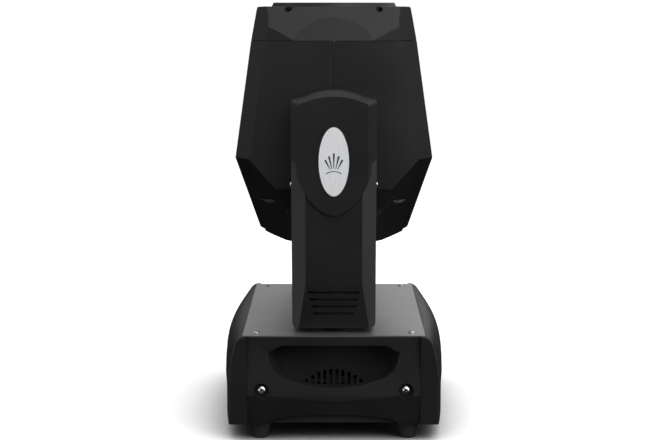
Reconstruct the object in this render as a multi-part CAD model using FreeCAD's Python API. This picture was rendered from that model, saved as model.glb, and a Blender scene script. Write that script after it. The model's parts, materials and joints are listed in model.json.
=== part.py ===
"""Moving head light: a base with a pan drive, a yoke with a tilt drive, and a faceted head.

Millimetres. +Z is up and Y is the tilt axis. The origin is on the floor, under the pan axis.
"""

import FreeCAD, Part
import math
import os

from FreeCAD import Vector

# ---- driving dimensions -------------------------------------------------------------------------

WALL = 2.5                # moulded plastic wall
SHEET = 1.5               # folded steel sheet
SEAM = 0.3                # half the gap at a parting line
RUN = 0.05                # radial clearance of a running fit

FOOT_HEIGHT = 21.0        # the base's underside stands this high
PLATE_TOP = 129.5         # top of the base's metal plate
PLATE_X, PLATE_Y = 110.0, 163.0
TRAY_X, TRAY_Y = 104.0, 159.0
COVER_X = 104.2           # half length of a side cover, up to its seam with the end caps
COVER_Y = 170.0           # outermost face of a side cover
END_Y = 168.5             # end face of an end cap
SOCKET_X, SOCKET_Y = 60.0, 85.0      # quarter-turn sockets for a hanging bracket
SOCKET_BORE = 5.2

TILT_Z = 345.0            # height of the tilt axis
ARM_INNER, ARM_SPLIT = 104.0, 111.0  # inner face of an arm, and the seam between liner and cover
ARM_FACE, SHIELD_FACE = 154.0, 157.0
ARM_HALF = 51.3
ARM_BOTTOM, ARM_TOP = 136.0, 422.3
BRIDGE_TOP = 151.5

HEAD_TOP, HEAD_BOTTOM = 520.0, 221.5
HEAD_SIDE = 98.0          # the head's flat side, next to the arm
CAP_SEAM_Z = 479.0
RING_RADIUS = 79.0
RING_TOP = 525.0

REACH = 900.0             # larger than the whole object
X_AXIS, Y_AXIS, Z_AXIS = Vector(1, 0, 0), Vector(0, 1, 0), Vector(0, 0, 1)
HEAD_CENTRE = Vector(0, 0, TILT_Z)


# ---- helpers ------------------------------------------------------------------------------------

def box(x0, x1, y0, y1, z0, z1):
    return Part.makeBox(x1 - x0, y1 - y0, z1 - z0, Vector(x0, y0, z0))


def rod(radius, start, end, axis=Z_AXIS, at=(0.0, 0.0)):
    """A cylinder from start to end along an axis. at is its place on the other two axes, in XYZ order."""
    if axis is Z_AXIS:
        foot = Vector(at[0], at[1], start)
    elif axis is Y_AXIS:
        foot = Vector(at[0], start, at[1])
    else:
        foot = Vector(start, at[0], at[1])
    return Part.makeCylinder(radius, end - start, foot, axis)


def tube(outer, inner, start, end, axis=Z_AXIS, at=(0.0, 0.0)):
    bore = rod(inner, start - 1, end + 1, axis, at)
    return rod(outer, start, end, axis, at).cut(bore)


def fuse(shapes):
    first, *others = shapes
    return first.fuse(others).removeSplitter() if others else first


def mirrored(shape, normal):
    return shape.mirror(Vector(0, 0, 0), normal)


def four_ways(shape):
    """The shape and its mirror images about both vertical planes."""
    pair = [shape, mirrored(shape, X_AXIS)]
    return pair + [mirrored(s, Y_AXIS) for s in pair]


def prism_xz(wire, y0, y1):
    """The region inside an XZ wire drawn at y = 0, from y0 to y1."""
    face = Part.Face(wire)
    face.translate(Vector(0, y0, 0))
    return face.extrude(Vector(0, y1 - y0, 0))


def polygon_xz(points):
    return Part.makePolygon([Vector(x, 0, z) for x, z in [*points, points[0]]])


def polygon_prism_xy(points, z0, z1):
    wire = Part.makePolygon([Vector(x, y, z0) for x, y in [*points, points[0]]])
    return Part.Face(wire).extrude(Vector(0, 0, z1 - z0))


def polygon_prism_yz(points, x0, x1):
    wire = Part.makePolygon([Vector(x0, y, z) for y, z in [*points, points[0]]])
    return Part.Face(wire).extrude(Vector(x1 - x0, 0, 0))


def keep_behind(shape, point, normal):
    """The part of shape behind the plane through point with that outward normal."""
    block = Part.makeBox(REACH, REACH, REACH, Vector(-REACH / 2, -REACH / 2, 0))
    block.Placement = FreeCAD.Placement(point, FreeCAD.Rotation(Z_AXIS, normal))
    return shape.cut(block)


def outward_normal(a, b, c, inside):
    normal = (b - a).cross(c - a)
    normal.normalize()
    return normal if normal.dot(a - inside) > 0 else normal * -1


def clip(shape, triangles, inside, inset=0.0):
    """Shape cut back to the inner side of each plane, which three points give, moved in by inset."""
    for a, b, c in triangles:
        normal = outward_normal(a, b, c, inside)
        shape = keep_behind(shape, a - normal * inset, normal)
    return shape


def rounded(shape, radius, chosen):
    """Shape with the edges that chosen accepts rounded."""
    return shape.makeFillet(radius, [e for e in shape.Edges if chosen(e)])


def along(edge, axis):
    """Whether an edge is straight and runs along an axis."""
    if len(edge.Vertexes) < 2 or edge.Curve.TypeId != "Part::GeomLine":
        return False
    return abs(edge.tangentAt(edge.FirstParameter).dot(axis)) > 0.999


def button_screw(radius, height, shank, length, socket):
    """A socket screw along +Z: its head rises from z = 0, its shank goes down."""
    dome_radius = (radius ** 2 + height ** 2) / (2 * height)
    dome = Part.makeSphere(dome_radius, Vector(0, 0, height - dome_radius))
    head = dome.common(rod(radius, 0, height))
    hexagon = [
        (socket * math.cos(math.radians(60 * i)), socket * math.sin(math.radians(60 * i)))
        for i in range(6)
    ]
    key_hole = polygon_prism_xy(hexagon, height * 0.3, height + 1)
    return fuse([head, rod(shank, -length, 0)]).cut(key_hole)


def pan_screw(radius, height, shank, length):
    """A cross-recessed screw along +Z: its head rises from z = 0, its shank goes down."""
    head = rounded(rod(radius, 0, height), height * 0.45,
                   lambda e: e.BoundBox.ZMin > height - 0.01)
    slot = radius * 0.62
    cross = [box(-slot, slot, -0.5, 0.5, height * 0.45, height + 1),
             box(-0.5, 0.5, -slot, slot, height * 0.45, height + 1)]
    return fuse([head, rod(shank, -length, 0)]).cut(cross)


def placed(shape, point, direction):
    """A shape made along +Z, moved to point and turned to direction."""
    copy = shape.copy()
    seat = FreeCAD.Placement(Vector(*point), FreeCAD.Rotation(Z_AXIS, direction))
    copy.Placement = seat * shape.Placement
    return copy


def belt(big_at, big_radius, small_at, small_radius, thickness, width):
    """A closed flat belt in the XY plane round two pulleys, from z = 0 to width."""
    def loop(extra):
        r1, r2 = big_radius + extra, small_radius + extra
        dx, dy = small_at[0] - big_at[0], small_at[1] - big_at[1]
        gap = math.hypot(dx, dy)
        heading = math.atan2(dy, dx)
        lean = math.acos((r1 - r2) / gap)

        def spot(centre, radius, angle):
            return Vector(centre[0] + radius * math.cos(angle), centre[1] + radius * math.sin(angle), 0)

        a1, a2 = spot(big_at, r1, heading + lean), spot(big_at, r1, heading - lean)
        b1, b2 = spot(small_at, r2, heading + lean), spot(small_at, r2, heading - lean)
        back = Part.Arc(a1, spot(big_at, r1, heading + math.pi), a2)
        front = Part.Arc(b2, spot(small_at, r2, heading), b1)
        edges = [back, Part.LineSegment(a2, b2), front, Part.LineSegment(b1, a1)]
        return Part.Face(Part.Wire([e.toShape() for e in edges])).extrude(Vector(0, 0, width))

    return loop(thickness).cut(loop(0.0))


def toothed_pulley(radius, teeth, width, bore, flange=1.5):
    """A timing pulley along +Z from z = 0 to width, with grooves between two flanges."""
    body = rod(radius, 0, width)
    groove = rod(radius * math.pi / teeth * 0.42, flange, width - flange)
    grooves = []
    for i in range(teeth):
        angle = 2 * math.pi * i / teeth
        copy = groove.copy()
        copy.translate(Vector(radius * math.cos(angle), radius * math.sin(angle), 0))
        grooves.append(copy)
    rims = [tube(radius + 1.5, radius - 3, 0, flange - 0.3),
            tube(radius + 1.5, radius - 3, width - flange + 0.3, width)]
    return fuse([body.cut(grooves), *rims]).cut(rod(bore, -1, width + 1))


def fan_rotor(radius, hub, blades, depth, bore):
    """An axial fan's rotor along +Z from z = 0 to depth."""
    vane = box(hub - 1, radius, -0.8, 0.8, 0.5, depth - 0.5)
    vane.rotate(Vector(0, 0, depth / 2), X_AXIS, 38)
    keep = tube(radius, hub - 1, 0.3, depth - 0.3)
    vanes = []
    for i in range(blades):
        copy = vane.common(keep)
        copy.rotate(Vector(0, 0, 0), Z_AXIS, 360 * i / blades)
        vanes.append(copy)
    return fuse([rod(hub, 0, depth), *vanes]).cut(rod(bore, -1, depth * 0.7))


def fan_frame(half, radius, depth, spindle):
    """A square fan housing along +Z with a motor spider at its top, carrying the spindle."""
    plate = rounded(box(-half, half, -half, half, 0, depth), half * 0.1, lambda e: along(e, Z_AXIS))
    spokes = [box(-radius - 1, radius + 1, -2, 2, depth - 2, depth),
              box(-2, 2, -radius - 1, radius + 1, depth - 2, depth)]
    inset = half * 0.86
    holes = [rod(2.1, -1, depth + 1, at=(sx * inset, sy * inset)) for sx in (1, -1) for sy in (1, -1)]
    ring = plate.cut([rod(radius, -1, depth + 1), *holes])
    return fuse([ring, *spokes, rod(radius * 0.36, depth - 2, depth), rod(spindle, depth * 0.35, depth - 1)])


# ---- base ---------------------------------------------------------------------------------------

RECESS_BACK = 134.5       # back wall of the hand recess
RECESS_TOP = 117.6
SCREW_X, SCREW_Z = 87.0, 62.8


def base_tray():
    outer = box(-TRAY_X, TRAY_X, -TRAY_Y, TRAY_Y, FOOT_HEIGHT, PLATE_TOP - SHEET)
    inner = box(-TRAY_X + SHEET, TRAY_X - SHEET, -TRAY_Y + SHEET, TRAY_Y - SHEET,
                FOOT_HEIGHT + SHEET, PLATE_TOP)
    recess_gap = box(-85, 85, -TRAY_Y - 1, TRAY_Y + 1, 50, PLATE_TOP)
    windows = [box(-TRAY_X - 1, -TRAY_X + 3, -88, 88, 44, 100),
               box(TRAY_X - 3, TRAY_X + 1, -62, 62, 46, 98)]
    bores = [rod(SOCKET_BORE, 0, 60, at=(sx * SOCKET_X, sy * SOCKET_Y)) for sx in (1, -1) for sy in (1, -1)]
    screw_holes = [rod(2.65, -170, 170, Y_AXIS, (sx * SCREW_X, SCREW_Z)) for sx in (1, -1)]
    vents = [box(-42, 42, y - 1.6, y + 1.6, 0, 60) for y in (-52, -44, -36, 36, 44, 52)]
    eye = box(-1.5, 1.5, -12, 12, 3, FOOT_HEIGHT)
    eye = rounded(eye, 8, lambda e: along(e, X_AXIS) and e.BoundBox.ZMax < 4)
    eye = eye.cut(rod(6, -3, 3, X_AXIS, (0, 12.0)))
    return fuse([outer.cut([inner, recess_gap, *windows, *bores, *screw_holes, *vents]), eye])


def quarter_turn_sockets():
    ring = tube(12, SOCKET_BORE, FOOT_HEIGHT + SHEET, FOOT_HEIGHT + SHEET + 6)
    ring.translate(Vector(SOCKET_X, SOCKET_Y, 0))
    return four_ways(ring)


def base_top_plate():
    plate = box(-PLATE_X, PLATE_X, -PLATE_Y, PLATE_Y, PLATE_TOP - SHEET, PLATE_TOP)
    plate = rounded(plate, 2.0, lambda e: along(e, Z_AXIS))
    holes = [rod(2.2, 100, 140, at=(sx * 94, sy * 148)) for sx in (1, -1) for sy in (1, -1)]
    return plate.cut([rod(33, 100, 140), *holes])


def top_plate_screws():
    screw = pan_screw(3.8, 2.2, 2.0, 9)
    return four_ways(placed(screw, (94, 148, PLATE_TOP), Z_AXIS))


def recess_wire(y, grow, draft, drop):
    """Outline of the hand recess at y: a flat top, steep ends and a shallow curved sill."""
    side = grow - draft
    right = [(63.4 + side * 0.5, RECESS_TOP + grow), (80.6 + side, 108.7), (77.6 + side, 97.0 - drop * 0.3),
             (72.4 + side, 86.8 - drop * 0.6 - grow * 0.5), (62.5 + side * 0.5, 79.7 - drop * 0.8 - grow)]
    right = [Vector(x, y, z) for x, z in right]
    left = [Vector(-p.x, y, p.z) for p in right]
    edges = [Part.LineSegment(left[0], right[0])]
    edges += [Part.LineSegment(a, b) for a, b in zip(right, right[1:])]
    edges.append(Part.Arc(right[-1], Vector(0, y, 67.0 - drop - grow), left[-1]))
    edges += [Part.LineSegment(b, a) for a, b in reversed(list(zip(left, left[1:])))]
    return Part.Wire([e.toShape() for e in edges])


def recess(grow):
    """The hand recess as a solid. Its ends draw in and its floor falls away behind the sill."""
    front = recess_wire(-COVER_Y, grow, 0.0, 0.0)
    mouth = recess_wire(-COVER_Y - 5, grow, 0.0, 0.0)
    back = recess_wire(-RECESS_BACK + grow, grow, 7.0, 10.0)
    return fuse([Part.makeLoft([mouth, front], True, True), Part.makeLoft([front, back], True, True)])


def side_cover_outline(inset=0.0):
    """Outline of a side cover, with an arch between its two feet."""
    x, top = COVER_X - inset, PLATE_TOP - SHEET - 0.2 - inset
    low = FOOT_HEIGHT + 0.3 + inset
    points = [(-x, low), (-x, top), (x, top), (x, low), (78, low)]
    corners = [Vector(x, 0, z) for x, z in points]
    lines = [Part.LineSegment(a, b) for a, b in zip(corners, corners[1:])]
    foot, haunch = Vector(78, 0, low), Vector(66.5, 0, 28 + inset)
    far_foot, far_haunch = Vector(-78, 0, low), Vector(-66.5, 0, 28 + inset)
    arch = [Part.Arc(foot, Vector(73.5, 0, low + 4), haunch),
            Part.Arc(haunch, Vector(0, 0, 33 + inset), far_haunch),
            Part.Arc(far_haunch, Vector(-73.5, 0, low + 4), far_foot),
            Part.LineSegment(far_foot, Vector(-x, 0, low))]
    return Part.Wire([e.toShape() for e in lines + arch])


def side_cover_body(inset):
    """Outer form of the cover on the -Y side: an upright band, a leant face and a tucked-in skirt."""
    outline = side_cover_outline(inset)
    band_z, band_y = 108.6, -COVER_Y + 6
    face = [Vector(0, -COVER_Y, 57), Vector(50, -COVER_Y, 57), Vector(0, band_y, band_z)]
    inside = Vector(0, 0, 80)
    body = clip(prism_xz(outline, -COVER_Y + inset, -TRAY_Y - 0.3), [face], inside, inset)
    band = prism_xz(outline, band_y + inset, -TRAY_Y - 0.3)
    band = band.common(box(-150, 150, -200, 0, band_z - inset, 200))
    body = fuse([body, band])
    skirt = [Vector(0, -COVER_Y, 57), Vector(50, -COVER_Y, 57), Vector(0, -COVER_Y + 5, FOOT_HEIGHT)]
    end, crease_end, crease_middle = COVER_X + 1, 63.7, 50.0
    crease = Part.Arc(Vector(-end, 0, crease_end), Vector(0, 0, crease_middle), Vector(end, 0, crease_end))
    corners = [Vector(end, 0, crease_end), Vector(end, 0, 0),
               Vector(-end, 0, 0), Vector(-end, 0, crease_end)]
    edges = [crease] + [Part.LineSegment(a, b) for a, b in zip(corners, corners[1:])]
    below_crease = prism_xz(Part.Wire([e.toShape() for e in edges]), -COVER_Y - 5, -TRAY_Y)
    lower = clip(body.common(below_crease), [skirt], inside, inset)
    return fuse([body.cut(below_crease), lower])


def side_cover():
    """Side cover on the -Y side: a shell with a hand recess, whose back wall is louvred."""
    body = side_cover_body(0.0)
    shell = body.cut(side_cover_body(WALL))
    tub = recess(WALL).common(fuse([body, box(-100, 100, -TRAY_Y - 1, -100, 40, 127)]))
    bosses = [rod(11.7, -COVER_Y + 1, -TRAY_Y, Y_AXIS, (sx * SCREW_X, SCREW_Z)) for sx in (1, -1)]
    shell = fuse([shell, tub, *[boss.common(body) for boss in bosses]])
    wells = [rod(9.2, -COVER_Y - 5, -COVER_Y + 6, Y_AXIS, (sx * SCREW_X, SCREW_Z)) for sx in (1, -1)]
    screw_holes = [rod(2.7, -COVER_Y, -150, Y_AXIS, (sx * SCREW_X, SCREW_Z)) for sx in (1, -1)]
    slot_pitch, slot_half = 7.4, 2.1
    slots = []
    for i in range(10):
        x = (i - 4.5) * slot_pitch
        top = 81.5 - 0.0115 * x * x
        slots.append(box(x - slot_half, x + slot_half, -RECESS_BACK - 4, -RECESS_BACK + 5,
                         61.5 + 0.0025 * x * x, top))
    return shell.cut([recess(0.0), *wells, *screw_holes, *slots])


def end_cap_section(y, outline, inset):
    """XZ section of the +X end cap at y, through a shoulder, a waist and an upright skirt."""
    i = inset
    top, low = PLATE_TOP - i, FOOT_HEIGHT + i
    brim = Vector(PLATE_X + 0.8, y, top)
    spline = [Vector(x - i, y, z - i * 0.3) for x, z in outline]
    shoulder = Part.BSplineCurve()
    shoulder.interpolate([brim, *spline])
    skirt = outline[-1][0] - 1.0 - i
    points = [spline[-1], Vector(skirt, y, 58), Vector(skirt, y, low), Vector(COVER_X + SEAM, y, low),
              Vector(COVER_X + SEAM, y, top), brim]
    lines = [Part.LineSegment(a, b) for a, b in zip(points, points[1:])]
    return Part.Wire([e.toShape() for e in [shoulder, *lines]])


END_OUTLINE = ((118.6, 122.5), (122.2, 110.0), (125.4, 94.7), (127.6, 72.0))
MIDDLE_OUTLINE = ((127.5, 122.6), (133.6, 112.5), (137.4, 97.0), (138.6, 71.0))


def end_cap_form(inset):
    """The +X end cap as a solid: fuller at its shoulder in the middle than at its ends."""
    end = END_Y - inset
    sections = [end_cap_section(-end, END_OUTLINE, inset), end_cap_section(0, MIDDLE_OUTLINE, inset),
                end_cap_section(end, END_OUTLINE, inset)]
    return Part.makeLoft(sections, True, False)


def end_cap(pocket, floor_x, opening):
    """An end cap on the +X side, with a pocket for a panel and an opening through the pocket's floor."""
    outer = end_cap_form(0.0)
    body = rounded(outer, 2.5,
                   lambda e: abs(abs(e.CenterOfMass.y) - END_Y) < 0.1 and e.BoundBox.XMin > PLATE_X)
    inner = fuse([end_cap_form(WALL), box(90, COVER_X + SEAM + 1, -TRAY_Y - 0.3, TRAY_Y + 0.3,
                                          FOOT_HEIGHT + WALL, PLATE_TOP - WALL)])
    half_y, z0, z1 = pocket
    hollow = box(floor_x, 150, -half_y, half_y, z0, z1)
    hollow = rounded(hollow, 4.0, lambda e: along(e, X_AXIS))
    lining = box(floor_x - WALL, 150, -half_y - WALL, half_y + WALL, z0 - WALL, z1 + WALL)
    rebate = box(90, PLATE_X + 0.3, -PLATE_Y - 0.3, PLATE_Y + 0.3, PLATE_TOP - SHEET - 0.1, PLATE_TOP + 5)
    shell = body.cut(inner.cut(lining)).cut([hollow, rebate, opening])
    for sy in (1, -1):
        seat, direction = (116, sy * 150, 101), Vector(1, 0, 0.55)
        boss = placed(rod(7.2, -1, 40), seat, direction).common(end_cap_form(0.4))
        shell = fuse([shell, boss]).cut(placed(rod(4.6, 1.5, 40), seat, direction))
    return shell


DISPLAY_Z = 72.0
BEZEL_X = 133.5           # the display bezel's outer face
KEY_FACE = BEZEL_X + 1.4
DISPLAY_POCKET = (63.0, 47.5, 96.5)
CONNECTOR_POCKET = (87.0, 43.0, 99.0)
CONNECTOR_FLOOR = 125.5


def display_end_cap():
    opening = box(100, 140, -57, 57, DISPLAY_Z - 19, DISPLAY_Z + 19)
    return end_cap(DISPLAY_POCKET, BEZEL_X - 2.0, opening)


def connector_end_cap():
    opening = box(100, 140, -82, 82, 47, 95)
    return mirrored(end_cap(CONNECTOR_POCKET, CONNECTOR_FLOOR, opening), X_AXIS)


KEY_PLACES = {
    "key_menu": (30.0, DISPLAY_Z), "key_up": (41.0, DISPLAY_Z + 8.5),
    "key_down": (41.0, DISPLAY_Z - 8.5), "key_enter": (52.0, DISPLAY_Z),
}
KEY_RADIUS = 4.6


def display_bezel():
    plate = box(BEZEL_X - 2.0, BEZEL_X, -61, 61, DISPLAY_Z - 22.5, DISPLAY_Z + 22.5)
    plate = rounded(plate, 4.0, lambda e: along(e, X_AXIS))
    backing = box(BEZEL_X - 7, BEZEL_X - 2, -56.7, 56.7, DISPLAY_Z - 18.7, DISPLAY_Z + 18.7)
    window = box(BEZEL_X - 3.5, BEZEL_X + 1, -50, 18, DISPLAY_Z - 15, DISPLAY_Z + 15)
    holes = [rod(KEY_RADIUS + 0.3, 120, 140, X_AXIS, at) for at in KEY_PLACES.values()]
    return fuse([plate, backing]).cut([window, *holes])


def display_window():
    return box(BEZEL_X - 3.5, BEZEL_X - 0.4, -49.8, 17.8, DISPLAY_Z - 14.8, DISPLAY_Z + 14.8)


def key(name):
    """A panel key: a round cap with a collar behind the bezel that stops it falling out."""
    cap = rounded(rod(KEY_RADIUS, BEZEL_X - 8.0, KEY_FACE, X_AXIS, KEY_PLACES[name]), 0.8,
                  lambda e: e.BoundBox.XMin > KEY_FACE - 0.1)
    return fuse([cap, rod(KEY_RADIUS + 1.2, BEZEL_X - 10, BEZEL_X - 7.4, X_AXIS, KEY_PLACES[name])])


PANEL_X = 123.0           # the connector panel's outer face, on the -X end
POWER_AT, FUSE_AT = (-58.0, 71.0), (61.0, 71.0)
DATA_AT = ((-12.0, 71.0), (24.0, 71.0))


def connector_plate():
    plate = box(-PANEL_X, -PANEL_X + SHEET, -84, 84, 45, 97)
    holes = [rod(12.2, -140, -100, X_AXIS, at) for at in (POWER_AT, *DATA_AT)]
    return plate.cut([*holes, rod(6.6, -140, -100, X_AXIS, FUSE_AT)])


def power_inlet():
    """A round locking mains inlet with three contacts, and the fuse holder that serves it."""
    y, z = POWER_AT
    flange = box(-PANEL_X - 2, -PANEL_X, y - 14, y + 14, z - 14, z + 14)
    flange = rounded(flange, 3, lambda e: along(e, X_AXIS))
    barrel = tube(12, 9.6, -PANEL_X - 5, -PANEL_X + 16, X_AXIS, POWER_AT)
    core = rod(6.6, -PANEL_X - 3, -PANEL_X + 16, X_AXIS, POWER_AT)
    base = rod(12, -PANEL_X + 10, -PANEL_X + 18, X_AXIS, POWER_AT)
    slots = []
    for i in range(3):
        slot = box(-PANEL_X - 4, -PANEL_X + 6, y - 0.7, y + 0.7, z + 2.4, z + 5.4)
        slot.rotate(Vector(0, y, z), X_AXIS, 120 * i)
        slots.append(slot)
    hollow = rod(9.6, -PANEL_X - 3, -PANEL_X, X_AXIS, POWER_AT)
    inlet = fuse([flange.cut(hollow), barrel, base, core.cut(slots)])
    holder = fuse([rod(8.5, -PANEL_X - 3, -PANEL_X, X_AXIS, FUSE_AT),
                   rod(6.5, -PANEL_X, -PANEL_X + 17, X_AXIS, FUSE_AT),
                   rod(6.8, -PANEL_X - 8, -PANEL_X - 3, X_AXIS, FUSE_AT)])
    fuse_y, fuse_z = FUSE_AT
    driver_slot = box(-PANEL_X - 9, -PANEL_X - 6.5, fuse_y - 5, fuse_y + 5, fuse_z - 0.7, fuse_z + 0.7)
    return [inlet, holder.cut(driver_slot)]


def data_sockets():
    """Two round data sockets, one with pins and one with holes, on square flanges."""
    sockets = []
    for index, (y, z) in enumerate(DATA_AT):
        flange = box(-PANEL_X - 1.6, -PANEL_X, y - 13, y + 13, z - 15.5, z + 15.5)
        flange = rounded(flange, 2.5, lambda e: along(e, X_AXIS))
        bore = rod(9.4, -PANEL_X - 2, -PANEL_X + 9, X_AXIS, (y, z))
        body = rod(12, -PANEL_X, -PANEL_X + 18, X_AXIS, (y, z))
        shape = fuse([flange, body]).cut(bore)
        ring = [(y + 4.6 * math.cos(math.radians(a)), z + 4.6 * math.sin(math.radians(a)))
                for a in (90, 210, 330)]
        if index == 0:
            shape = fuse([shape] + [rod(1.2, -PANEL_X, -PANEL_X + 10, X_AXIS, p) for p in ring])
        else:
            insert = rod(7.8, -PANEL_X, -PANEL_X + 10, X_AXIS, (y, z))
            insert = insert.cut([rod(1.4, -PANEL_X - 1, -PANEL_X + 8, X_AXIS, p) for p in ring])
            shape = fuse([shape, insert])
        sockets.append(shape)
    return sockets


def rubber_feet():
    cone = Part.makeCone(9.5, 13.6, FOOT_HEIGHT, Vector(90, 146, 0))
    foot = rounded(cone, 2.5, lambda e: e.BoundBox.ZMax < 0.1)
    return four_ways(foot)


def cover_screws():
    """Socket screws that hold the side covers, sunk in round wells."""
    screw = button_screw(6.2, 3.6, 2.6, 12, 2.4)
    return four_ways(placed(screw, (SCREW_X, COVER_Y - 6.0, SCREW_Z), Y_AXIS))


SUPPORT_Z = 100.0         # underside of the pan support plate
PAN_SHAFT_RADIUS = 25.0
PAN_MOTOR_Y = 92.0
PAN_PULLEY_RADIUS, PAN_MOTOR_PULLEY_RADIUS = 54.0, 9.0
PULLEY_LOW = 106.0


def pan_support_plate():
    edge = TRAY_X - SHEET
    plate = box(-edge, edge, -70, 128, SUPPORT_Z, SUPPORT_Z + 3)
    lips = [box(*sorted((sx * edge, sx * (edge - 2))), -70, 128, SUPPORT_Z - 12, SUPPORT_Z)
            for sx in (1, -1)]
    bores = [rod(PAN_SHAFT_RADIUS + 2, 90, 110), rod(6, 90, 110, at=(0, PAN_MOTOR_Y))]
    return fuse([plate, *lips]).cut(bores)


def pan_bearing():
    return fuse([tube(38, PAN_SHAFT_RADIUS + RUN, SUPPORT_Z - 14, SUPPORT_Z - 3),
                 tube(46, PAN_SHAFT_RADIUS + RUN, SUPPORT_Z - 3, SUPPORT_Z)])


def stepper(half, length, shaft, shaft_length, boss):
    """A square stepping motor along +Z: its face is at z = 0, its body below, its shaft above."""
    body = rounded(box(-half, half, -half, half, -length, 0), half * 0.18, lambda e: along(e, Z_AXIS))
    waist = box(-half - 1, half + 1, -half - 1, half + 1, -length * 0.72, -length * 0.28)
    core = rounded(box(-half + 0.8, half - 0.8, -half + 0.8, half - 0.8, -length, 0), half * 0.3,
                   lambda e: along(e, Z_AXIS))
    body = fuse([body.cut(waist), core])
    return fuse([body, rod(boss, -1, 1.6), rod(shaft, -1, shaft_length)])


def pan_motor():
    motor = stepper(28.2, 46, 3.2, 20, 5.8)
    return placed(motor, (0, PAN_MOTOR_Y, SUPPORT_Z), Z_AXIS)


def pan_motor_pulley():
    pulley = toothed_pulley(PAN_MOTOR_PULLEY_RADIUS, 18, 11, 3.2 + RUN)
    return placed(pulley, (0, PAN_MOTOR_Y, PULLEY_LOW), Z_AXIS)


def pan_belt():
    loop = belt((0, 0), PAN_PULLEY_RADIUS + 0.3, (0, PAN_MOTOR_Y), PAN_MOTOR_PULLEY_RADIUS + 0.3, 1.2, 7.4)
    return placed(loop, (0, 0, PULLEY_LOW + 1.8), Z_AXIS)


def power_supply():
    case = box(-98, -14, -106, 42, 30, 68)
    slots = [box(-90, -22, y - 1.5, y + 1.5, 64, 74) for y in range(-94, 36, 9)]
    inside = box(-96.5, -15.5, -104.5, 40.5, 31.5, 66.5)
    return case.cut([inside, *slots])


def main_board():
    board = box(16, 98, -106, 44, 32, 33.6)
    chips = [box(30, 50, -80, -60, 33.6, 36), box(62, 90, -92, -70, 33.6, 45), box(28, 44, 0, 24, 33.6, 43),
             rod(6, 33.6, 52, at=(70, -30)), rod(6, 33.6, 52, at=(86, -30)), rod(8, 33.6, 58, at=(78, 10))]
    posts = [rod(3, FOOT_HEIGHT + SHEET, 32, at=(x, y)) for x in (20, 94) for y in (-102, 40)]
    return fuse([board, *chips, *posts])


BASE_FAN_Z = 66.0
FAN_FRONT = 116.5         # inner face of the base fan, which blows out through the recess louvres


def base_fan_frame():
    frame = fan_frame(30, 27.5, 15, 2.0)
    return placed(frame, (0, -FAN_FRONT, BASE_FAN_Z), Y_AXIS * -1)


def base_fan_rotor():
    rotor = fan_rotor(26.6, 10, 7, 11.5, 2.0 + RUN)
    rotor = mirrored(rotor, Z_AXIS)
    rotor.translate(Vector(0, 0, 12.3))
    return placed(rotor, (0, -FAN_FRONT, BASE_FAN_Z), Y_AXIS * -1)


# ---- yoke ---------------------------------------------------------------------------------------

TILT_MOTOR_Z = 225.0
TRUNNION_RADIUS = 15.0
TILT_PULLEY_RADIUS, TILT_MOTOR_PULLEY_RADIUS = 38.0, 7.5
TILT_PULLEY_Y = 137.0


def yoke_frame():
    """Steel U: a cross member, two upright arms and the bracket that holds the tilt motor."""
    inner = ARM_SPLIT - 4.0
    cross = box(-38, 38, -inner - 3, inner + 3, 139, 142)
    parts = [cross]
    for side in (1, -1):
        y0, y1 = sorted((side * inner, side * (inner + 3)))
        upright = box(-36, 36, y0, y1, 139, TILT_Z)
        crown = rod(36, y0, y1, Y_AXIS, (0, TILT_Z))
        parts += [upright, crown]
    webs = [box(sx * 24.5 - 1.5, sx * 24.5 + 1.5, -135.5, -inner - 3, 200, 250) for sx in (1, -1)]
    shelf = box(-26, 26, -136, -133.5, 200, 250)
    bores = [rod(20, -120, 120, Y_AXIS, (0, TILT_Z)), rod(11.5, -140, -130, Y_AXIS, (0, TILT_MOTOR_Z)),
             rod(16, 130, 150)]
    lightening = [box(-22, 22, -115, 115, 262, 305).cut(box(-22, 22, -100, 100, 262, 305))]
    return fuse([*parts, *webs, shelf]).cut([*bores, *lightening])


def pan_shaft():
    """Hollow pan shaft with the flange that bolts under the yoke."""
    return fuse([tube(PAN_SHAFT_RADIUS, 16, SUPPORT_Z - 22, 136), tube(40, 16, 132, 139)])


def pan_pulley():
    pulley = toothed_pulley(PAN_PULLEY_RADIUS, 108, 11, PAN_SHAFT_RADIUS + 0.02)
    return placed(pulley, (0, 0, PULLEY_LOW), Z_AXIS)


def arm_outline(half, top, low, shoulder_drop=11.0, arch_half=35.0, arch_drop=8.2, corner=5.0):
    """Outline of an arm in XZ: straight sides, sloping shoulders and an arched crown."""
    shoulder = top - shoulder_drop
    bend = Vector(half - corner, 0, shoulder)
    side = Vector(half, 0, shoulder - corner)
    mid = Vector(half - corner * 0.22, 0, shoulder - corner * 0.3)
    haunch = Vector(arch_half, 0, top - arch_drop)

    def flip(p):
        return Vector(-p.x, 0, p.z)

    low_right = Vector(half - 1.0, 0, low)
    edges = [Part.LineSegment(low_right, side), Part.Arc(side, mid, bend), Part.LineSegment(bend, haunch),
             Part.Arc(haunch, Vector(0, 0, top), flip(haunch)), Part.LineSegment(flip(haunch), flip(bend)),
             Part.Arc(flip(bend), flip(mid), flip(side)), Part.LineSegment(flip(side), flip(low_right)),
             Part.LineSegment(flip(low_right), low_right)]
    return Part.Wire([e.toShape() for e in edges])


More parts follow.
